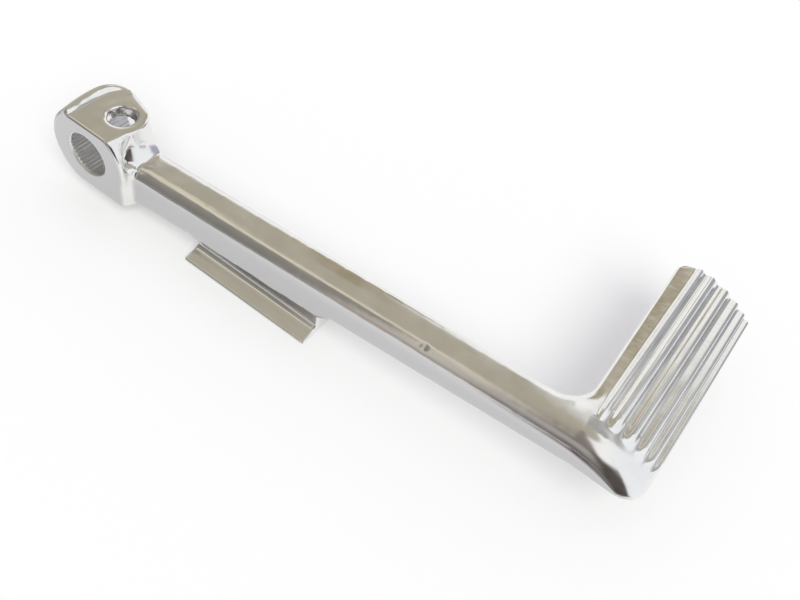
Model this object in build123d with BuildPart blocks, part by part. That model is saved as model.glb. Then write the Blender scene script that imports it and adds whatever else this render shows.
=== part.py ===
from build123d import *

import math
import os

# Kick start lever: one polished aluminium casting, in millimetres.
# The origin is the centre of the shaft bore on the boss's engine-side face. +X runs along the
# lever to the pedal, +Y along the bore away from the engine, and +Z along the clamp bolt.

# Boss
BOSS_RADIUS = 14.6
BOSS_CROWN = 1.0
BOSS_DEPTH = 22.6
BOSS_FRONT_ROUND = 1.0
BOSS_REAR_ROUND = 8.0
BOSS_FOOT = 13.1
BOSS_TAPER_START = -6.0
BOSS_RIM = 2.2
SHOE_REACH = 15.6
SHOE_TOP = 2.4
SHOE_RAMP = 2.2
SHOE_DEPTH = 5.0
SHOE_ROUND = 1.4

# Splined shaft bore
SPLINE_ROOT_RADIUS = 7.5
SPLINE_TOOTH_HEIGHT = 0.4
SPLINE_TEETH = 36
SPLINE_GROOVE_WIDTH = 0.5
BORE_MOUTH_CHAMFER = 0.45

# Clamp bolt
BOLT_OFFSET = 4.25
BOLT_HOLE_RADIUS = 4.25
BOLT_HOLE_CHAMFER = 0.5
BOLT_GROOVE_CLEARANCE = 0.4
BOLT_PAD_HEIGHT = 11.5
BOLT_PAD_RADIUS = 11.1
BOLT_LUG_RADIUS = 7.9
LUG_FRONT_TURN = 30.0
LUG_RIM_ROUND = 3.0

# Arm: its length to the elbow, and its faces at the bore's axis and at the elbow
ARM_LENGTH = 161.7
ARM_FRONT_AT_BOSS = 3.1
ARM_FRONT_AT_PEDAL = 6.87
ARM_WIDTH_AT_BOSS = 12.8
ARM_WIDTH_AT_PEDAL = 12.27
ARM_TOP_AT_BOSS = 1.0
ARM_TOP_AT_PEDAL = 11.02
ARM_HEIGHT_AT_BOSS = 14.7
ARM_HEIGHT_AT_PEDAL = 11.25
ARM_SHOULDER_AT_BOSS = 4.5
ARM_SHOULDER_AT_PEDAL = 7.84
ARM_REAR_ROUND = 3.2
ARM_BOTTOM_ROUND = 1.8

# Neck: the drafted flanks that widen from the lug's rim down to the arm's top
NECK_RADIUS = 12.0
NECK_HOLLOW = 0.7
NECK_RIM = 0.8

# Nick in the arm's edge
NICK_TO_PEDAL = 42.7
NICK_RADIUS = 2.4
NICK_DEPTH = 0.3

# Pedal
PEDAL_SLANT = 1.3
PEDAL_WIDTH = 24.9
PEDAL_BOTTOM = -0.2
PEDAL_TIP_HEIGHT = 1.9
PEDAL_STRIP = 3.4
PEDAL_CROWN_RISE = 2.3
PEDAL_END = 84.0
PEDAL_CORNER_ROUND = 3.5
CORNER_ROUND = 9.0
NOSE_STEPS = 5
NOSE_TURN = 80.0

# Ribs
RIB_COUNT = 6
RIB_RADIUS = 1.25
RIB_FIRST = 0.02
RIB_LAST = 0.93
RIB_SPREAD = 55.0
RIB_LEAD = 2.85
RIB_INSET = 0.4

# Buffer rail
RAIL_START = 38.5
RAIL_LENGTH = 47.0
RAIL_TOP = -16.0
RAIL_THICKNESS = 1.8
RAIL_FRONT = 0.7
RAIL_WIDTH = 20.0
RAIL_EDGE_ROUND = 0.5
RAIL_WEB_WIDTH = 8.2
RAIL_WEB_ROUND = 1.6
RAIL_SLOT_AT_START = 5.5
RAIL_SLOT_AT_END = 7.4
RAIL_FLARE = 4.5

bolt_depth = BOSS_DEPTH / 2
crown_start = ARM_LENGTH + PEDAL_STRIP
nick_x = ARM_LENGTH - NICK_TO_PEDAL


def along_arm(at_boss, at_pedal, x):
    """A size of the arm at x, changing evenly from the bore's axis to the pedal."""
    return at_boss + (at_pedal - at_boss) * x / ARM_LENGTH


def arm_front(x):
    return along_arm(ARM_FRONT_AT_BOSS, ARM_FRONT_AT_PEDAL, x)


def arm_rear(x):
    return arm_front(x) + along_arm(ARM_WIDTH_AT_BOSS, ARM_WIDTH_AT_PEDAL, x)


def arm_top(x):
    return along_arm(ARM_TOP_AT_BOSS, ARM_TOP_AT_PEDAL, x)


def arm_bottom(x):
    return arm_top(x) - along_arm(ARM_HEIGHT_AT_BOSS, ARM_HEIGHT_AT_PEDAL, x)


def arm_middle_height(x):
    return (arm_top(x) + arm_bottom(x)) / 2


def arm_shoulder(x):
    return along_arm(ARM_SHOULDER_AT_BOSS, ARM_SHOULDER_AT_PEDAL, x)


def arm_outline(low, high, x):
    """One side-view or plan outline of the arm: its two edges run straight from the bore to x."""
    return [(0, low(0)), (x, low(x)), (x, high(x)), (0, high(0))]


def shoulder_waste(x):
    """What the round of the front top edge takes off the arm's square section at x."""
    front, top, round_ = arm_front(x), arm_top(x), arm_shoulder(x)
    with BuildSketch(Plane.YZ.offset(x)) as section:
        with BuildLine():
            CenterArc((front + round_, top - round_), round_, 90, 90)
            Polyline(
                (front, top - round_),
                (front - round_, top - round_),
                (front - round_, top + round_),
                (front + round_, top + round_),
                (front + round_, top),
            )
        make_face()
    return section.sketch


def pedal_outer():
    return ARM_LENGTH + PEDAL_WIDTH


def crown():
    """The pedal's arched top line, from the end of its flat strip to its tip."""
    start = Vector(crown_start, 0, arm_top(crown_start))
    end = Vector(pedal_outer(), 0, PEDAL_BOTTOM + PEDAL_TIP_HEIGHT)
    chord = (end - start).normalized()
    middle = (start + end) / 2 + Vector(-chord.Z, 0, chord.X) * PEDAL_CROWN_RISE
    return Edge.make_three_point_arc(start, middle, end)


def pedal_section(y, turn=0.0):
    """The pedal's section across y; in the nose it shrinks as the round turns towards the front."""
    drop = 1 - math.cos(math.radians(turn))
    full_height = arm_top(ARM_LENGTH) - PEDAL_BOTTOM
    height = full_height - (arm_shoulder(ARM_LENGTH) + ARM_BOTTOM_ROUND) * drop
    width = PEDAL_WIDTH - arm_shoulder(ARM_LENGTH) * drop

    def at(x, z):
        return (
            ARM_LENGTH + (x - ARM_LENGTH) * width / PEDAL_WIDTH,
            PEDAL_BOTTOM + ARM_BOTTOM_ROUND * drop + (z - PEDAL_BOTTOM) * height / full_height,
        )

    arch = crown()
    start, middle, end = (at(arch.position_at(u).X, arch.position_at(u).Z) for u in (0, 0.5, 1))
    inner_low = at(ARM_LENGTH, arm_bottom(ARM_LENGTH))
    with BuildSketch(Plane.XZ.offset(-y)) as section:
        with BuildLine():
            Line(inner_low, at(ARM_LENGTH, arm_top(ARM_LENGTH)))
            Line(at(ARM_LENGTH, arm_top(ARM_LENGTH)), start)
            ThreePointArc(start, middle, end)
            Line(end, at(pedal_outer(), PEDAL_BOTTOM))
            Line(at(pedal_outer(), PEDAL_BOTTOM), at(crown_start, arm_bottom(crown_start)))
            Line(at(crown_start, arm_bottom(crown_start)), inner_low)
        make_face()
    return section.sketch


def nearest(x, y, z):
    return arm.edges().sort_by_distance((x, y, z))[0]


def rear_edges(height):
    """The arm's rear edges at its top or bottom, along the arm, round the elbow and along the pedal."""
    return [
        nearest(arm_middle, arm_rear(arm_middle), height(arm_middle)),
        nearest(elbow[0] - elbow_inset, elbow[1] + elbow_inset, height(ARM_LENGTH)),
        nearest((elbow[0] + strip_end) / 2, (elbow[1] + PEDAL_END) / 2, height(ARM_LENGTH)),
    ]


def lug_point(turn):
    """A point on the bolt lug's plan circle."""
    angle = math.radians(turn)
    return (
        BOLT_OFFSET + BOLT_LUG_RADIUS * math.cos(angle),
        bolt_depth + BOLT_LUG_RADIUS * math.sin(angle),
    )


nose_round = arm_shoulder(ARM_LENGTH)
nose_start = arm_front(ARM_LENGTH) + nose_round
elbow = (ARM_LENGTH, arm_rear(ARM_LENGTH))
elbow_top = arm_top(ARM_LENGTH)
elbow_inset = CORNER_ROUND * (1 - math.sqrt(0.5))
arm_middle = ARM_LENGTH / 2
slant = math.tan(math.radians(PEDAL_SLANT))
strip_end = ARM_LENGTH - (PEDAL_END - elbow[1]) * slant
lug_end = BOLT_OFFSET + BOLT_LUG_RADIUS
bolt_plane = Plane(origin=(BOLT_OFFSET, bolt_depth, 0), x_dir=(1, 0, 0), z_dir=(0, -1, 0))
bolt_axis = Axis(bolt_plane.origin, (0, 0, 1))
rib_start = nose_start + RIB_LEAD
rib_end = PEDAL_END - RIB_INSET
rail_end = RAIL_START + RAIL_LENGTH
rail_middle = RAIL_FRONT + RAIL_WIDTH / 2

# Arm: a straight bar that narrows a little and rises from the boss, with the pedal's flat inner strip
with BuildPart() as arm:
    with BuildSketch(Plane.XY) as plan:
        with BuildLine():
            Polyline(
                (0, arm_front(0)),
                (crown_start, arm_front(crown_start)),
                (crown_start, PEDAL_END),
                (strip_end, PEDAL_END),
                elbow,
                (0, arm_rear(0)),
                close=True,
            )
        make_face()
        fillet(plan.vertices().sort_by_distance(elbow)[0], CORNER_ROUND)
    extrude(amount=2 * arm_top(crown_start), both=True)
    with BuildSketch(Plane.XZ):
        with BuildLine():
            Polyline(*arm_outline(arm_bottom, arm_top, crown_start), close=True)
        make_face()
    extrude(amount=-2 * PEDAL_END, mode=Mode.INTERSECT)
    fillet(rear_edges(arm_bottom), ARM_BOTTOM_ROUND)
    fillet(rear_edges(arm_top), ARM_REAR_ROUND)
    fillet(nearest(arm_middle, arm_front(arm_middle), arm_bottom(arm_middle)), ARM_BOTTOM_ROUND)
    loft([shoulder_waste(0), shoulder_waste(crown_start)], ruled=True, mode=Mode.SUBTRACT)

# Pedal: the arched body beyond the flat strip
with BuildPart() as pedal:
    extrude(pedal_section(nose_start), amount=-(PEDAL_END - nose_start))
    with BuildSketch(Plane.XY):
        with Locations((crown_start, nose_start)):
            Rectangle(2 * PEDAL_STRIP, PEDAL_END, align=(Align.MAX, Align.MIN))
    extrude(amount=2 * elbow_top, both=True, mode=Mode.SUBTRACT)

# Shoe: the corner of the boss's front face beside the arm, which ramps back to the arm's front
with BuildPart() as shoe:
    with BuildSketch(Plane.XY.offset(SHOE_TOP)):
        with BuildLine():
            Polyline(
                (0, 0),
                (SHOE_REACH - SHOE_RAMP, 0),
                (SHOE_REACH, arm_front(SHOE_REACH)),
                (SHOE_REACH, SHOE_DEPTH),
                (0, SHOE_DEPTH),
                close=True,
            )
        make_face()
    extrude(amount=-(SHOE_TOP + BOSS_FOOT))
    fillet(shoe.edges().filter_by(Axis.Z).sort_by(Axis.X)[2:4], SHOE_ROUND)
    fillet(shoe.faces().sort_by(Axis.Z)[-1].edges().sort_by(Axis.X)[-4:], SHOE_ROUND)

# Boss: a barrel round the bore, trimmed to the bolt's lug on the arm's side
with BuildPart() as boss:
    with BuildSketch(Plane.XY) as half:
        with BuildLine():
            ThreePointArc(
                (BOSS_RADIUS, 0), (BOSS_RADIUS + BOSS_CROWN, BOSS_DEPTH / 2), (BOSS_RADIUS, BOSS_DEPTH)
            )
            Polyline((BOSS_RADIUS, BOSS_DEPTH), (0, BOSS_DEPTH), (0, 0), (BOSS_RADIUS, 0))
        make_face()
        fillet(half.vertices().sort_by_distance((BOSS_RADIUS, 0))[0], BOSS_FRONT_ROUND)
        fillet(half.vertices().sort_by_distance((BOSS_RADIUS, BOSS_DEPTH))[0], BOSS_REAR_ROUND)
    revolve(axis=Axis.Y)
    taper = (BOSS_TAPER_START - BOLT_OFFSET, BOSS_DEPTH - bolt_depth)
    tangent_turn = math.acos(BOLT_LUG_RADIUS / math.hypot(*taper))
    taper_turn = math.degrees(math.atan2(taper[1], taper[0]) - tangent_turn)
    lug_front = lug_point(-LUG_FRONT_TURN)
    with BuildSketch(Plane.XY) as waste:
        with BuildLine():
            Line((BOSS_TAPER_START, BOSS_DEPTH), lug_point(taper_turn))
            ThreePointArc(lug_point(taper_turn), lug_point(0), lug_front)
            Polyline(
                lug_front,
                (lug_front[0], BOSS_RIM),
                (2 * BOSS_RADIUS, BOSS_RIM),
                (2 * BOSS_RADIUS, 2 * BOSS_DEPTH),
                (BOSS_TAPER_START, 2 * BOSS_DEPTH),
                (BOSS_TAPER_START, BOSS_DEPTH),
            )
        make_face()
        fillet(waste.vertices().sort_by_distance((lug_front[0], BOSS_RIM))[0], LUG_RIM_ROUND)
    extrude(amount=2 * BOSS_RADIUS, both=True, mode=Mode.SUBTRACT)

    # Flat seat of the bolt's head, sunk into the barrel
    with BuildSketch(Plane.XY.offset(BOLT_PAD_HEIGHT)):
        with Locations((BOLT_OFFSET, bolt_depth)):
            Circle(BOLT_PAD_RADIUS)
            Rectangle(2 * BOLT_PAD_RADIUS, BOSS_DEPTH, align=(Align.CENTER, Align.MAX))
    extrude(amount=BOSS_RADIUS, mode=Mode.SUBTRACT)

    # Lug of the clamp bolt, and the shoe in front of the arm
    with BuildSketch(Plane.XY.offset(BOLT_PAD_HEIGHT)):
        with Locations((BOLT_OFFSET, bolt_depth)):
            Circle(BOLT_LUG_RADIUS)
    extrude(amount=-(BOLT_PAD_HEIGHT + BOSS_FOOT))
    add(shoe.part)

# Neck: the lug's drafted flanks, hollow above the arm's top and straight below, cut off at the arm's front
with BuildPart() as neck:
    neck_low = Vector(NECK_RADIUS, arm_top(lug_end))
    neck_high = Vector(BOLT_LUG_RADIUS, BOLT_PAD_HEIGHT - NECK_RIM)
    flank = (neck_high - neck_low).normalized()
    flank_middle = (neck_low + neck_high) / 2 + Vector(-flank.Y, flank.X) * NECK_HOLLOW
    with BuildSketch(bolt_plane):
        with BuildLine():
            ThreePointArc(neck_low, flank_middle, neck_high)
            Polyline(
                neck_high,
                (0, neck_high.Y),
                (0, -BOSS_FOOT),
                (BOLT_LUG_RADIUS, -BOSS_FOOT),
                neck_low,
            )
        make_face()
    revolve(axis=bolt_axis)
    with BuildSketch(Plane.XY):
        with Locations((BOLT_OFFSET, arm_front(lug_end) + NECK_RIM)):
            Rectangle(4 * NECK_RADIUS, 4 * NECK_RADIUS, align=(Align.CENTER, Align.MIN))
    extrude(amount=2 * BOSS_RADIUS, both=True, mode=Mode.INTERSECT)

# Buffer rail: a flange on a narrow web, joined to the arm's underside by a block as wide as the arm
with BuildPart() as rail:
    with BuildSketch(Plane.XZ):
        with BuildLine():
            Polyline(
                (RAIL_START, RAIL_TOP + RAIL_SLOT_AT_START),
                (rail_end, RAIL_TOP + RAIL_SLOT_AT_END),
                (rail_end + RAIL_FLARE, arm_bottom(rail_end + RAIL_FLARE)),
                (rail_end + RAIL_FLARE, arm_middle_height(rail_end + RAIL_FLARE)),
                (RAIL_START, arm_middle_height(RAIL_START)),
                close=True,
            )
        make_face()
    extrude(amount=-2 * arm_rear(rail_end))
    with BuildSketch(Plane.XY):
        with BuildLine():
            Polyline(*arm_outline(arm_front, arm_rear, crown_start), close=True)
        make_face()
    extrude(amount=2 * RAIL_TOP, both=True, mode=Mode.INTERSECT)
    with BuildSketch(Plane.YZ.offset(RAIL_START)) as flange:
        with Locations((rail_middle, RAIL_TOP)):
            Rectangle(RAIL_WIDTH, RAIL_THICKNESS, align=(Align.CENTER, Align.MAX))
        fillet(flange.vertices(), RAIL_EDGE_ROUND)
    extrude(amount=RAIL_LENGTH)
    with BuildSketch(Plane.XZ.offset(-rail_middle)):
        with BuildLine():
            Polyline(
                (RAIL_START, RAIL_TOP - RAIL_THICKNESS / 2),
                (rail_end, RAIL_TOP - RAIL_THICKNESS / 2),
                (rail_end, arm_middle_height(rail_end)),
                (RAIL_START, arm_middle_height(RAIL_START)),
                close=True,
            )
        make_face()
    extrude(amount=RAIL_WEB_WIDTH / 2, both=True)
    for side in (-RAIL_WEB_WIDTH / 2, RAIL_WEB_WIDTH / 2):
        corner = ((RAIL_START + rail_end) / 2, rail_middle + side, RAIL_TOP)
        fillet(rail.edges().sort_by_distance(corner)[0], RAIL_WEB_ROUND)

with BuildPart() as lever:
    # Arm and pedal, whose far inner corner is rounded
    add(arm.part)
    add(pedal.part)
    corner_centre = (strip_end + PEDAL_CORNER_ROUND, PEDAL_END - PEDAL_CORNER_ROUND)
    with BuildSketch(Plane.XY):
        with BuildLine():
            CenterArc(corner_centre, PEDAL_CORNER_ROUND, 90, 90)
            Polyline((strip_end, corner_centre[1]), (strip_end, PEDAL_END), (corner_centre[0], PEDAL_END))
        make_face()
    extrude(amount=2 * elbow_top, both=True, mode=Mode.SUBTRACT)

    # Nose
    turns = [NOSE_TURN * step / NOSE_STEPS for step in range(NOSE_STEPS + 1)]
    loft([pedal_section(nose_start - nose_round * math.sin(math.radians(turn)), turn) for turn in turns])

    # Ribs
    arch = crown()
    for rib in range(RIB_COUNT):
        rib_turn = math.radians(RIB_SPREAD * rib / (RIB_COUNT - 1))
        share = math.sin(rib_turn) / math.sin(math.radians(RIB_SPREAD))
        centre = arch.position_at(RIB_FIRST + (RIB_LAST - RIB_FIRST) * share)
        with BuildSketch(Plane.XZ.offset(-rib_start)):
            with Locations((centre.X, centre.Z)):
                Circle(RIB_RADIUS)
        extrude(amount=-(rib_end - rib_start))
        with Locations((centre.X, rib_start, centre.Z)):
            Sphere(RIB_RADIUS)

    # Boss, with its flat foot, and rail
    add(boss.part)
    add(neck.part)
    with BuildSketch(Plane.XY.offset(-BOSS_FOOT)):
        Rectangle(4 * BOSS_RADIUS, 4 * BOSS_DEPTH)
    extrude(amount=-BOSS_RADIUS, mode=Mode.SUBTRACT)
    add(rail.part)

    # Splined bore: a round hole with V-shaped grooves between the teeth, chamfered at its mouth
    spline_tip_radius = SPLINE_ROOT_RADIUS - SPLINE_TOOTH_HEIGHT
    with BuildSketch(Plane.XZ):
        Circle(spline_tip_radius)
        with PolarLocations(SPLINE_ROOT_RADIUS, SPLINE_TEETH):
            Polygon(
                (0, 0),
                (-2 * SPLINE_TOOTH_HEIGHT, SPLINE_GROOVE_WIDTH),
                (-2 * SPLINE_TOOTH_HEIGHT, -SPLINE_GROOVE_WIDTH),
                align=None,
            )
    extrude(amount=-BOSS_DEPTH, mode=Mode.SUBTRACT)
    with BuildSketch(Plane.XY):
        with BuildLine():
            Polyline(
                (0, 0),
                (SPLINE_ROOT_RADIUS, 0),
                (spline_tip_radius, BORE_MOUTH_CHAMFER),
                (0, BORE_MOUTH_CHAMFER),
                close=True,
            )
        make_face()
    revolve(axis=Axis.Y, mode=Mode.SUBTRACT)

    # Clamp bolt's hole across the bore, chamfered at its seat. Its groove in the bore's wall is a little
    # wider, so that the bolt touches only the walls above and below the bore.
    groove_radius = BOLT_HOLE_RADIUS + BOLT_GROOVE_CLEARANCE
    with BuildSketch(bolt_plane):
        with BuildLine():
            Polyline(
                (0, BOLT_PAD_HEIGHT),
                (BOLT_HOLE_RADIUS + BOLT_HOLE_CHAMFER, BOLT_PAD_HEIGHT),
                (BOLT_HOLE_RADIUS, BOLT_PAD_HEIGHT - BOLT_HOLE_CHAMFER),
                (BOLT_HOLE_RADIUS, SPLINE_ROOT_RADIUS),
                (groove_radius, SPLINE_ROOT_RADIUS),
                (groove_radius, -SPLINE_ROOT_RADIUS),
                (BOLT_HOLE_RADIUS, -SPLINE_ROOT_RADIUS),
                (BOLT_HOLE_RADIUS, -BOSS_RADIUS),
                (0, -BOSS_RADIUS),
                close=True,
            )
        make_face()
    revolve(axis=bolt_axis, mode=Mode.SUBTRACT)

    # Nick in the front top edge of the arm
    nick_turn = math.radians(135)
    nick_reach = arm_shoulder(nick_x) + NICK_RADIUS - NICK_DEPTH
    nick_y = arm_front(nick_x) + arm_shoulder(nick_x) + nick_reach * math.cos(nick_turn)
    nick_z = arm_top(nick_x) - arm_shoulder(nick_x) + nick_reach * math.sin(nick_turn)
    with Locations((nick_x, nick_y, nick_z)):
        Sphere(NICK_RADIUS, mode=Mode.SUBTRACT)

lever.part.label = "kick_start_lever"
os.makedirs("parts", exist_ok=True)
export_step(lever.part, "parts/kick_start_lever.step")
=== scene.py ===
import math

import bpy
import numpy as np
from mathutils import Matrix, Vector


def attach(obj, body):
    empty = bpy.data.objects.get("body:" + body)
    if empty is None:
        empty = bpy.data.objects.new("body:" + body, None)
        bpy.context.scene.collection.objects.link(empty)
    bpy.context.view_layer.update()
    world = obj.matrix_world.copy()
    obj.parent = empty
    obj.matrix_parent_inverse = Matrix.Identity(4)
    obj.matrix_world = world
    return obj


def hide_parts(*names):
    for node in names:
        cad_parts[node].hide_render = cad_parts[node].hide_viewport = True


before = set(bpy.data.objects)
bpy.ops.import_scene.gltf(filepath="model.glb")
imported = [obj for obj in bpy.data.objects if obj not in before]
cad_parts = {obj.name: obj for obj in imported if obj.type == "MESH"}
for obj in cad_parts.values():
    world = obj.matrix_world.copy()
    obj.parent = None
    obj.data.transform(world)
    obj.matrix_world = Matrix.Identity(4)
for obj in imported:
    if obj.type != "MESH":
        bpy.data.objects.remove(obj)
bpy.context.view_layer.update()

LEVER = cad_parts["kick_start_lever"]
MM_PER_M = 1000

# Camera, in metres, degrees and pixels
CAMERA_PLACE = Vector((0.169571, -0.124524, 0.199559))
CAMERA_TARGET = Vector((0.101701, 0.023490, -0.003343))
CAMERA_ROLL = 14.517
FOCAL_PIXELS = 899.27
IMAGE_WIDTH = 800
SENSOR_WIDTH = 36.0
CLIP_START = 0.01

# Floor and studio tent, in metres and degrees
FLOOR_SIZE = 8.0
FLOOR_GLOW = 0.2
TENT_RADIUS = 1.2
TENT_STEP = 2
WRAP_MARGIN = 90
FLOOR_REFLECTION_LIFT = 0.0005

# Painted reflection tones that several panels share
WHITE = (1.0, 1.0, 1.0)
BEIGE = (0.45, 0.415, 0.34)
GREY = (0.40, 0.40, 0.385)
SHADE = (0.27, 0.262, 0.235)

# Tent's panels of painted reflection, each laid over those before it, in degrees:
# azimuth from and to, elevation from and to, lean of its edges, softness, tone
TENT_PANELS = {
    "side": ((-30, 45), (-5, 50), 0, 12, (0.94, 0.96, 1.0)),
    "stand": ((42, 78), (6, 44), 0, 9, GREY),
    "stand_foot": ((38, 66), (-6, 16), 0, 9, (0.40, 0.41, 0.53)),
    "top": ((-90, 95), (68, 100), 0, 6, BEIGE),
    "ceiling": ((99, 292), (45, 100), 0, 5, BEIGE),
    "back": ((124, 192), (34, 70), 0, 5, BEIGE),
    "left": ((146, 196), (-5, 36), 0, 8, BEIGE),
    "right_top": ((45, 94), (47, 70), 0, 6, GREY),
    "gold": ((109, 132), (31, 44), 0.82, 4, (0.36, 0.31, 0.205)),
    "cream": ((172, 256), (-5, 54), 0, 4, (0.80, 0.735, 0.60)),
    "cream_right": ((249, 265), (12, 50), 0, 5, (0.66, 0.62, 0.54)),
    "front": ((165, 250), (-5, 46), 0, 4, SHADE),
    "front_foot": ((250, 266), (-5, 12), 0, 6, (0.51, 0.44, 0.39)),
    "front_right": ((264, 300), (-5, 78), 0, 6, (0.24, 0.205, 0.19)),
    "front_glow": ((262, 294), (14, 31), 0, 7, (0.47, 0.455, 0.43)),
    "dark": ((291, 335), (-5, 36), 0, 7, (0.09, 0.075, 0.07)),
}

# Painted reflections of the floor, seen only in the metal, the front one painted shade, in metres:
# x from and to, y from and to, soft edge, tone
FLOOR_REFLECTIONS = {
    "left_floor_tint": ((-1.0, -0.04), (-0.04, 0.5), 0.03, BEIGE),
    # Painted shade of the floor in front of the lever, seen in its reflections
    "front_floor_shade": ((-1.0, 0.03), (-1.0, -0.05), 0.05, SHADE),
    "right_floor_dark": ((0.11, 0.7), (-1.0, -0.05), 0.06, (0.16, 0.135, 0.125)),
}

# Soft lamp, in degrees, and the world's light
LAMP_TURN = -40
LAMP_HEIGHT = 50
LAMP_SPREAD = 40
LAMP_STRENGTH = 1.48
LAMP_TINT = (0.96, 1.0, 0.9)
WORLD_STRENGTH = 0.68
WORLD_TINT = (0.96, 0.94, 1.0, 1)

# Casting's skin, in millimetres as all its sizes below
SKIN_STEP = 0.4

# Rounding of edges: passes, how far each draws a point to its neighbours,
# and the x and y beyond which the pedal lies
ROUNDING_PASSES = 9
EDGE_PULL = 0.5
RAIL_PULL = 0.2
PEDAL_PULL = 0.3
PEDAL_CORNER = (160, 22)

# Softer rim behind the bolt seat, which fades in with the distance from the bolt,
# the height, the distance from the bore's middle away from the arm, and from the front
RIM_PASSES = 60
RIM_REACH = (5.5, 7)
RIM_HEIGHT = (10, 11)
RIM_SIDE = (0, 4)
RIM_FRONT = (1.5, 5)

# Rail under the arm
RAIL_LEVEL = -14.2
RAIL_FOOT = -17.8
RAIL_THICKNESS = 1.8
RAIL_WEB = (6.6, 14.8)
RAIL_LIP = 5.9
RAIL_RISE = 0.8
RAIL_FADE = (0.2, 0.8)

# Bore of the shaft and its spline
BORE_RADIUS = 7.3
BORE_DEPTH = 22.6
BORE_SKIN = 0.4
SPLINE_TEETH = 36
SPLINE_WAVE = 0.22
SPLINE_LEAD = (0.6, 1.4)

# Clamp bolt's lug and its rear flank, with turns in degrees round the bolt
BOLT_PLACE = (4.25, 11.3)
LUG_RADIUS = 7.9
LUG_TOP = 10.7
LUG_FADE = 1
TAPER_TURN = 68.0
TAPER_LIMIT = 60
FLANK_START = (12, 45)
FLANK_END = (100, 125)
FLANK_REACH = 6
FLANK_FRONT = 16.2
FLANK_KEPT = 0.3

# Pedal's crown: its arc's centre in x and z, radius and turns in degrees,
# and the depth of the skin that is shaped
CROWN_CENTRE = (164.134, -19.962)
CROWN_RADIUS = 31.207
CROWN_TURNS = (88.23, 43.96)
CROWN_SKIN = 0.8
PEDAL_END = 84.0

# Ribs as shares of the crown's arc, and the flutes between them
RIB_SHARES = (0.055, 0.225, 0.455, 0.65, 0.815, 0.935)
RIB_ENDS = (0.03, 0.06)
RIB_HEIGHT = 1.2
RIB_FULLNESS = 0.75
RIB_FACING = 0.3
RIB_START = 16.3
RIB_RUN = 4.0
RIB_MARGIN = 1
FLUTE_DEPTH = 0.35

# Strip beside the first rib
STRIP_WIDTH = 6
STRIP_SLOPE = 0.287
STRIP_RUN = (15.0, 28.0)
STRIP_FACING = 0.2

# Polished aluminium, in metres: facing and depth of its painted shade and duller places, colours,
# roughness, and noises as scale, detail and stretch
UNDER_FACING = (-0.35, -0.75)
FRONT_FACING = (-0.6, -1)
BORE_MARGIN = 1.1
DEEP_BORE = (0.009, 0.016)
POLISH_COLOURS = ((0.35, (0.83, 0.825, 0.81, 1)), (0.7, (0.90, 0.895, 0.88, 1)))
# Painted shade: the darker colour of the front, the underside and deep in the bore
PAINTED_SHADE_COLOUR = (0.57, 0.562, 0.57, 1)
SATIN_ROUGHNESS = 0.2
HAZE_NOISE = (120, 3)
HAZE_RANGE = (0.3, 0.75)
HAZE_ROUGHNESS = (0.09, 0.2)
MARK_NOISE = (900, 2, (0.05, 1, 1))
MARK_RANGE = (0.45, 0.75)
MARK_ROUGHNESS = (0, 0.07)
MARK_HEIGHT = 0.000004
WAVE_NOISE = (55, 1, (0.5, 1, 1))
WAVE_HEIGHT = 0.0003


def new_material(name):
    material = bpy.data.materials.new(name)
    material.use_nodes = True
    tree = material.node_tree
    tree.nodes.clear()
    output = tree.nodes.new("ShaderNodeOutputMaterial")
    return material, tree, output


def link(tree, source, target):
    tree.links.new(source, target)


def feed(tree, value, socket):
    """Links another node's socket, or sets a plain value."""
    if isinstance(value, bpy.types.NodeSocket):
        link(tree, value, socket)
    else:
        socket.default_value = value


def math_node(tree, operation, first, second):
    node = tree.nodes.new("ShaderNodeMath")
    node.operation = operation
    feed(tree, first, node.inputs[0])
    feed(tree, second, node.inputs[1])
    return node.outputs["Value"]


def mixed_colour(tree, factor, first, second):
    node = tree.nodes.new("ShaderNodeMix")
    node.data_type = "RGBA"
    colours = [s for s in node.inputs if s.type == "RGBA"]
    feed(tree, first, colours[0])
    feed(tree, second, colours[1])
    link(tree, factor, node.inputs["Factor"])
    return [s for s in node.outputs if s.type == "RGBA"][0]


def ranged(tree, value, limits, results=(0, 1)):
    """Maps the value from its limits to the results."""
    node = tree.nodes.new("ShaderNodeMapRange")
    for name, number in zip(("From Min", "From Max", "To Min", "To Max"), (*limits, *results)):
        node.inputs[name].default_value = number
    link(tree, value, node.inputs["Value"])
    return node.outputs["Result"]


def noise(tree, coords, scale, detail, stretch=(1, 1, 1)):
    mapping = tree.nodes.new("ShaderNodeMapping")
    mapping.inputs["Scale"].default_value = stretch
    link(tree, coords, mapping.inputs["Vector"])
    node = tree.nodes.new("ShaderNodeTexNoise")
    node.inputs["Scale"].default_value = scale
    node.inputs["Detail"].default_value = detail
    link(tree, mapping.outputs["Vector"], node.inputs["Vector"])
    return node.outputs["Fac"]


def bump(tree, height, distance, normal):
    node = tree.nodes.new("ShaderNodeBump")
    node.inputs["Strength"].default_value = 1.0
    node.inputs["Distance"].default_value = distance
    link(tree, height, node.inputs["Height"])
    link(tree, normal, node.inputs["Normal"])
    return node.outputs["Normal"]


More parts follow.
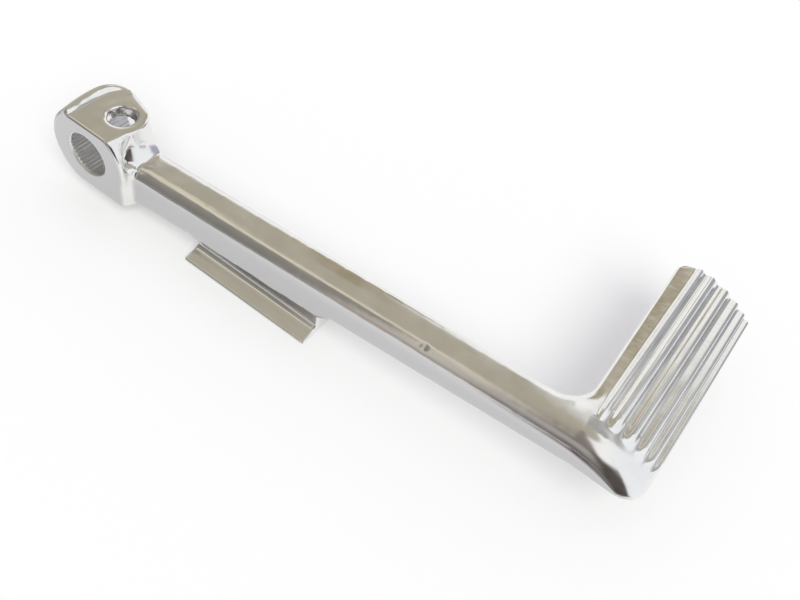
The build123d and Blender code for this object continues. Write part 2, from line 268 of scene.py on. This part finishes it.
def polished_aluminium():
    """Hand-polished casting: bright, a little wavy, duller underneath and in the bore, with
    painted shade on its front, underside and deep in the bore.
    """
    material, tree, output = new_material("polished_aluminium")
    coords = tree.nodes.new("ShaderNodeTexCoord").outputs["Object"]
    geometry = tree.nodes.new("ShaderNodeNewGeometry")
    place = tree.nodes.new("ShaderNodeSeparateXYZ")
    link(tree, coords, place.inputs["Vector"])
    facing = tree.nodes.new("ShaderNodeSeparateXYZ")
    link(tree, geometry.outputs["True Normal"], facing.inputs["Vector"])

    # Painted shade: darker underneath, on the front and deep in the bore
    under = ranged(tree, facing.outputs["Z"], UNDER_FACING)
    front = ranged(tree, facing.outputs["Y"], FRONT_FACING)
    reach = math_node(tree, "POWER", place.outputs["X"], 2)
    reach = math_node(tree, "ADD", reach, math_node(tree, "POWER", place.outputs["Z"], 2))
    in_bore = math_node(tree, "LESS_THAN", reach, (BORE_MARGIN * BORE_RADIUS / MM_PER_M) ** 2)
    in_depth = math_node(tree, "LESS_THAN", place.outputs["Y"], BORE_DEPTH / MM_PER_M)
    in_bore = math_node(tree, "MULTIPLY", in_bore, in_depth)
    deep = math_node(tree, "MULTIPLY", in_bore, ranged(tree, place.outputs["Y"], DEEP_BORE))
    painted_shade = math_node(tree, "MAXIMUM", under, front)
    painted_shade = math_node(tree, "MAXIMUM", painted_shade, deep)

    # Colour: faint cloudy haze, darker where shade is painted
    haze = noise(tree, coords, *HAZE_NOISE)
    ramp = tree.nodes.new("ShaderNodeValToRGB")
    for element, (position, colour) in zip(ramp.color_ramp.elements, POLISH_COLOURS):
        element.position = position
        element.color = colour
    link(tree, haze, ramp.inputs["Fac"])
    colour = mixed_colour(tree, painted_shade, ramp.outputs["Color"], PAINTED_SHADE_COLOUR)

    # Roughness: polish with hazy patches and fine rubbing marks along the arm
    marks = noise(tree, coords, *MARK_NOISE)
    dull = math_node(tree, "MAXIMUM", under, in_bore)
    rough = ranged(tree, haze, HAZE_RANGE, HAZE_ROUGHNESS)
    rough = math_node(tree, "ADD", rough, ranged(tree, marks, MARK_RANGE, MARK_ROUGHNESS))
    rough = math_node(tree, "ADD", rough, math_node(tree, "MULTIPLY", dull, SATIN_ROUGHNESS))

    # Surface: waves left by hand polishing, fine marks
    waves = noise(tree, coords, *WAVE_NOISE)
    normal = bump(tree, waves, WAVE_HEIGHT, geometry.outputs["Normal"])
    normal = bump(tree, marks, MARK_HEIGHT, normal)

    shader = tree.nodes.new("ShaderNodeBsdfPrincipled")
    shader.inputs["Metallic"].default_value = 1.0
    link(tree, colour, shader.inputs["Base Color"])
    link(tree, rough, shader.inputs["Roughness"])
    link(tree, normal, shader.inputs["Normal"])
    link(tree, shader.outputs["BSDF"], output.inputs["Surface"])
    return material


def smooth_share(value, start, end):
    amount = np.clip((value - start) / (end - start), 0, 1)
    return amount * amount * (3 - 2 * amount)


def cut_flutes(points, normals):
    """Shapes the pedal's crown into ribs and hollow flutes, which run out towards the nose."""
    x, z = points[:, 0] - CROWN_CENTRE[0], points[:, 2] - CROWN_CENTRE[1]
    reach = np.hypot(x, z)
    place = (CROWN_TURNS[0] - np.degrees(np.arctan2(z, x))) / (CROWN_TURNS[0] - CROWN_TURNS[1])
    outward = (normals[:, 0] * x + normals[:, 2] * z) / reach
    first, last = RIB_SHARES[0] - RIB_ENDS[0], RIB_SHARES[-1] + RIB_ENDS[1]
    shares = np.array((first - RIB_ENDS[0], *RIB_SHARES, last + RIB_ENDS[1]))
    rib = np.clip(np.searchsorted(shares, place) - 1, 0, len(shares) - 2)
    between = (place - shares[rib]) / (shares[rib + 1] - shares[rib])
    crest = (0.5 + 0.5 * np.cos(2 * np.pi * between)) ** RIB_FULLNESS
    height = (RIB_HEIGHT + FLUTE_DEPTH) * crest - FLUTE_DEPTH
    height *= smooth_share(points[:, 1], RIB_START, RIB_START + RIB_RUN)
    target = CROWN_RADIUS + height
    target = np.where(outward > RIB_FACING, target, np.minimum(reach, target))
    moved = (place >= first) & (place <= last) & (reach > CROWN_RADIUS - CROWN_SKIN)
    moved &= (points[:, 1] > RIB_START - RIB_MARGIN) & (points[:, 1] < PEDAL_END + RIB_MARGIN)
    factor = np.where(moved, target / reach, 1)
    points[:, 0] = CROWN_CENTRE[0] + x * factor
    points[:, 2] = CROWN_CENTRE[1] + z * factor


def slope_strip(points, normals):
    """Makes the strip beside the first rib plain, falling to the pedal's inner edge."""
    share_of_arc = RIB_SHARES[0] - RIB_ENDS[0]
    turn = math.radians(CROWN_TURNS[0] - share_of_arc * (CROWN_TURNS[0] - CROWN_TURNS[1]))
    reach = CROWN_RADIUS - FLUTE_DEPTH
    across = CROWN_CENTRE[0] + reach * math.cos(turn) - points[:, 0]
    top = CROWN_CENTRE[1] + reach * math.sin(turn)
    moved = (across > 0) & (across < STRIP_WIDTH) & (points[:, 1] > RIB_START - RIB_MARGIN)
    level = np.minimum(points[:, 2], top + FLUTE_DEPTH)
    points[:, 2] = np.where(moved, level, points[:, 2])
    fall = np.maximum(points[:, 2] - top + STRIP_SLOPE * across, 0)
    fall = fall * smooth_share(points[:, 1], *STRIP_RUN)
    points[:, 2] -= np.where(moved & (normals[:, 2] > STRIP_FACING), fall, 0)


def draw_in_neck(points):
    """Draws in the lug's rear flank, which runs from the lug's rim into the arm's rear edge."""
    x, y = points[:, 0] - BOLT_PLACE[0], points[:, 1] - BOLT_PLACE[1]
    reach = np.hypot(x, y)
    turn = np.degrees(np.arctan2(y, x))
    base = LUG_RADIUS / np.cos(np.radians(np.clip(turn - TAPER_TURN, 0, TAPER_LIMIT)))
    amount = smooth_share(turn, *FLANK_START) * (1 - smooth_share(turn, *FLANK_END))
    amount *= 1 - FLANK_KEPT
    amount *= 1 - smooth_share(points[:, 2], LUG_TOP - LUG_FADE, LUG_TOP)
    moved = (reach > base) & (reach < LUG_RADIUS + FLANK_REACH) & (points[:, 1] > FLANK_FRONT)
    factor = np.where(moved, 1 - amount * (1 - base / reach), 1)
    points[:, 0] = BOLT_PLACE[0] + x * factor
    points[:, 1] = BOLT_PLACE[1] + y * factor


def cut_spline(points):
    """Waves the bore's wall into the fine teeth of the spline."""
    reach = np.hypot(points[:, 0], points[:, 2])
    turn = np.arctan2(points[:, 2], points[:, 0])
    wall = (reach < BORE_RADIUS + BORE_SKIN) & (points[:, 1] < BORE_DEPTH)
    depth = smooth_share(points[:, 1], *SPLINE_LEAD)
    wave = depth * SPLINE_WAVE * np.cos(SPLINE_TEETH * turn) / BORE_RADIUS
    factor = np.where(wall, 1 + wave, 1)
    points[:, 0] *= factor
    points[:, 2] *= factor


def slope_rail(points):
    """Slopes the rail's lips from the web down to their edges, as the draft of the mould does."""
    lip = np.maximum(RAIL_WEB[0] - points[:, 1], points[:, 1] - RAIL_WEB[1]) / RAIL_LIP
    amount = np.clip((points[:, 2] - RAIL_FOOT) / RAIL_THICKNESS, 0, 1)
    fade = (RAIL_FOOT + RAIL_THICKNESS + RAIL_FADE[0], RAIL_LEVEL + RAIL_FADE[1])
    amount *= 1 - smooth_share(points[:, 2], *fade)
    points[:, 2] += RAIL_RISE * (1 - 2 * np.clip(lip, 0, 1)) * amount


def round_edges(points, edges):
    """Rounds the edges as polishing does, the rail and ribs less and the rim more."""
    count = len(points)
    first, second = edges[:, 0], edges[:, 1]
    ways = np.bincount(first, minlength=count) + np.bincount(second, minlength=count)
    on_pedal = (points[:, 0] > PEDAL_CORNER[0]) & (points[:, 1] > PEDAL_CORNER[1])
    pull = np.where(points[:, 2] < RAIL_LEVEL, RAIL_PULL, EDGE_PULL)
    pull = np.where(on_pedal, PEDAL_PULL, pull)
    from_bolt = np.hypot(points[:, 0] - BOLT_PLACE[0], points[:, 1] - BOLT_PLACE[1])
    rim = smooth_share(from_bolt, *RIM_REACH) * smooth_share(points[:, 2], *RIM_HEIGHT)
    rim *= smooth_share(-points[:, 0], *RIM_SIDE)
    rim *= smooth_share(points[:, 1], *RIM_FRONT)
    for step in range(ROUNDING_PASSES + RIM_PASSES):
        if step >= ROUNDING_PASSES:
            pull = EDGE_PULL * rim
        for axis in range(3):
            total = np.bincount(first, points[second, axis], count)
            total += np.bincount(second, points[first, axis], count)
            points[:, axis] += pull * (total / ways - points[:, axis])


def rows_of(items, name, width, kind=np.float64):
    values = np.empty(len(items) * width, dtype=kind)
    items.foreach_get(name, values)
    return values.reshape(-1, width)


def casting():
    """The lever's polished skin: the CAD solid with rounded edges and the finer forms cut in."""
    piece = bpy.data.objects.new("lever_casting", LEVER.data.copy())
    bpy.context.scene.collection.objects.link(piece)
    skin = piece.modifiers.new("skin", "REMESH")
    skin.mode = "VOXEL"
    skin.voxel_size = SKIN_STEP / MM_PER_M
    skinned = piece.evaluated_get(bpy.context.evaluated_depsgraph_get())
    mesh = bpy.data.meshes.new_from_object(skinned)
    piece.modifiers.clear()
    piece.data = mesh
    points = rows_of(mesh.vertices, "co", 3) * MM_PER_M
    normals = rows_of(mesh.vertices, "normal", 3)
    edges = rows_of(mesh.edges, "vertices", 2, np.int32)
    cut_flutes(points, normals)
    slope_strip(points, normals)
    draw_in_neck(points)
    slope_rail(points)
    round_edges(points, edges)
    cut_spline(points)
    mesh.vertices.foreach_set("co", (points / MM_PER_M).ravel())
    mesh.polygons.foreach_set("use_smooth", [True] * len(mesh.polygons))
    mesh.materials.clear()
    mesh.materials.append(polished_aluminium())
    mesh.update()
    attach(piece, "root")
    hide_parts("kick_start_lever")


def seen_rays(tree):
    """1 for rays that show a surface to the camera, straight or in metal or glass."""
    path = tree.nodes.new("ShaderNodeLightPath")
    seen = math_node(tree, "ADD", path.outputs["Is Camera Ray"], path.outputs["Is Glossy Ray"])
    return math_node(tree, "ADD", seen, path.outputs["Is Transmission Ray"])


def white_floor():
    """White table that glows a little to the camera and in metal, so shadows stay faint."""
    material, tree, output = new_material("white_floor")
    lit = tree.nodes.new("ShaderNodeBsdfDiffuse")
    lit.inputs["Color"].default_value = (*WHITE, 1)
    bright = tree.nodes.new("ShaderNodeEmission")
    bright.inputs["Color"].default_value = (*WHITE, 1)
    bright.inputs["Strength"].default_value = 1.0
    mix = tree.nodes.new("ShaderNodeMixShader")
    link(tree, ranged(tree, seen_rays(tree), (0, 1), (0, FLOOR_GLOW)), mix.inputs["Fac"])
    link(tree, lit.outputs["BSDF"], mix.inputs[1])
    link(tree, bright.outputs["Emission"], mix.inputs[2])
    link(tree, mix.outputs["Shader"], output.inputs["Surface"])
    return material


def reflection_glow():
    """Glowing sheet that shines in the painted reflection tone stored at its points."""
    material, tree, output = new_material("reflection_glow")
    tone = tree.nodes.new("ShaderNodeAttribute")
    tone.attribute_name = "painted_reflection"
    shader = tree.nodes.new("ShaderNodeEmission")
    shader.inputs["Strength"].default_value = 1.0
    link(tree, tone.outputs["Color"], shader.inputs["Color"])
    link(tree, shader.outputs["Emission"], output.inputs["Surface"])
    return material


def new_object(name, verts, faces, material):
    mesh = bpy.data.meshes.new(name)
    mesh.from_pydata(verts, [], faces)
    mesh.materials.append(material)
    obj = bpy.data.objects.new(name, mesh)
    bpy.context.scene.collection.objects.link(obj)
    return obj


def floor_height():
    return min((LEVER.matrix_world @ v.co).z for v in LEVER.data.vertices)


def floor():
    height = floor_height()
    half = FLOOR_SIZE / 2
    places = ((-half, -half), (half, -half), (half, half), (-half, half))
    corners = [(x, y, height) for x, y in places]
    new_object("floor", corners, [(0, 1, 2, 3)], white_floor())


def share(value, limits, soft):
    """1 inside the limits and 0 outside, with a soft edge."""
    inside = min(value - limits[0], limits[1] - value) / soft + 0.5
    inside = min(1, max(0, inside))
    return inside * inside * (3 - 2 * inside)


def tone_at(azimuth, elevation):
    """The tent's tone in one direction."""
    tone = Vector(WHITE)
    for azimuths, elevations, lean, soft, panel_tone in TENT_PANELS.values():
        start = azimuths[0] - WRAP_MARGIN
        turn = (azimuth - start) % 360 + start
        level = elevation - lean * (turn - sum(azimuths) / 2)
        amount = share(turn, azimuths, soft) * share(level, elevations, soft)
        tone = tone.lerp(Vector(panel_tone), amount)
    return tone


def direction(azimuth, elevation):
    az, el = math.radians(azimuth), math.radians(elevation)
    return Vector((math.cos(az) * math.cos(el), math.sin(az) * math.cos(el), math.sin(el)))


def seen_in_metal(obj, tones):
    """Colours a glowing sheet in painted reflection tones and keeps it out of all but the
    reflections.
    """
    painted_reflection = obj.data.color_attributes.new("painted_reflection", "FLOAT_COLOR", "POINT")
    for item, tone in zip(painted_reflection.data, tones):
        item.color = (*tone, 1)
    obj.visible_camera = False
    obj.visible_shadow = False
    obj.visible_diffuse = False


def tent(material):
    """A glowing dome round the lever that paints its reflections and is seen only in them."""
    verts, tones, faces = [], [], []
    columns = 360 // TENT_STEP
    rows = 90 // TENT_STEP + 1
    for i in range(rows):
        for j in range(columns):
            azimuth, elevation = j * TENT_STEP, i * TENT_STEP
            verts.append(CAMERA_TARGET + direction(azimuth, elevation) * TENT_RADIUS)
            tones.append(tone_at(azimuth, elevation))
    for i in range(rows - 1):
        low, high = i * columns, (i + 1) * columns
        for j in range(columns):
            k = (j + 1) % columns
            faces.append((low + j, low + k, high + k, high + j))
    seen_in_metal(new_object("tent", verts, faces, material), tones)


def floor_reflections(material):
    """Patches just above the floor that paint its reflection darker or tinted, the front one as
    painted shade; seen only in the lever's reflections, white at their edges.
    """
    height = floor_height() + FLOOR_REFLECTION_LIFT
    side = 4
    corners = [i for i in range(side * (side - 1)) if i % side < side - 1]
    faces = [(i, i + 1, i + side + 1, i + side) for i in corners]
    for name, (across, along, soft, tone) in FLOOR_REFLECTIONS.items():
        xs = (across[0], across[0] + soft, across[1] - soft, across[1])
        ys = (along[0], along[0] + soft, along[1] - soft, along[1])
        places = [(x, y) for y in ys for x in xs]
        verts = [(x, y, height) for x, y in places]
        tones = [tone if x in xs[1:3] and y in ys[1:3] else WHITE for x, y in places]
        seen_in_metal(new_object(name, verts, faces, material), tones)


def world_light():
    """White to the camera and in the metal, and a plain tinted light on everything else."""
    world = bpy.data.worlds.new("studio")
    bpy.context.scene.world = world
    world.use_nodes = True
    tree = world.node_tree
    tree.nodes.clear()
    output = tree.nodes.new("ShaderNodeOutputWorld")
    back = tree.nodes.new("ShaderNodeBackground")
    seen = seen_rays(tree)
    link(tree, mixed_colour(tree, seen, WORLD_TINT, (*WHITE, 1)), back.inputs["Color"])
    link(tree, ranged(tree, seen, (0, 1), (WORLD_STRENGTH, 1)), back.inputs["Strength"])
    link(tree, back.outputs["Background"], output.inputs["Surface"])


def lamp():
    """A wide soft lamp from the front on the right, which gives the floor's shadows their side."""
    data = bpy.data.lights.new("lamp", "SUN")
    data.energy = LAMP_STRENGTH
    data.color = LAMP_TINT
    data.angle = math.radians(LAMP_SPREAD)
    obj = bpy.data.objects.new("lamp", data)
    obj.rotation_euler = direction(LAMP_TURN, LAMP_HEIGHT).to_track_quat("Z", "Y").to_euler()
    obj.visible_glossy = False
    bpy.context.scene.collection.objects.link(obj)


def camera():
    """The photograph's camera."""
    data = bpy.data.cameras.new("camera")
    data.sensor_fit = "HORIZONTAL"
    data.sensor_width = SENSOR_WIDTH
    data.lens = SENSOR_WIDTH * FOCAL_PIXELS / IMAGE_WIDTH
    data.clip_start = CLIP_START
    obj = bpy.data.objects.new("camera", data)
    look = (CAMERA_TARGET - CAMERA_PLACE).to_track_quat("-Z", "Y").to_matrix().to_4x4()
    roll = Matrix.Rotation(math.radians(CAMERA_ROLL), 4, "Z")
    obj.matrix_world = Matrix.Translation(CAMERA_PLACE) @ look @ roll
    bpy.context.scene.collection.objects.link(obj)
    bpy.context.scene.camera = obj


casting()
floor()
painted_reflection = reflection_glow()
tent(painted_reflection)
floor_reflections(painted_reflection)
world_light()
lamp()
camera()
bpy.context.scene.view_settings.view_transform = "Standard"
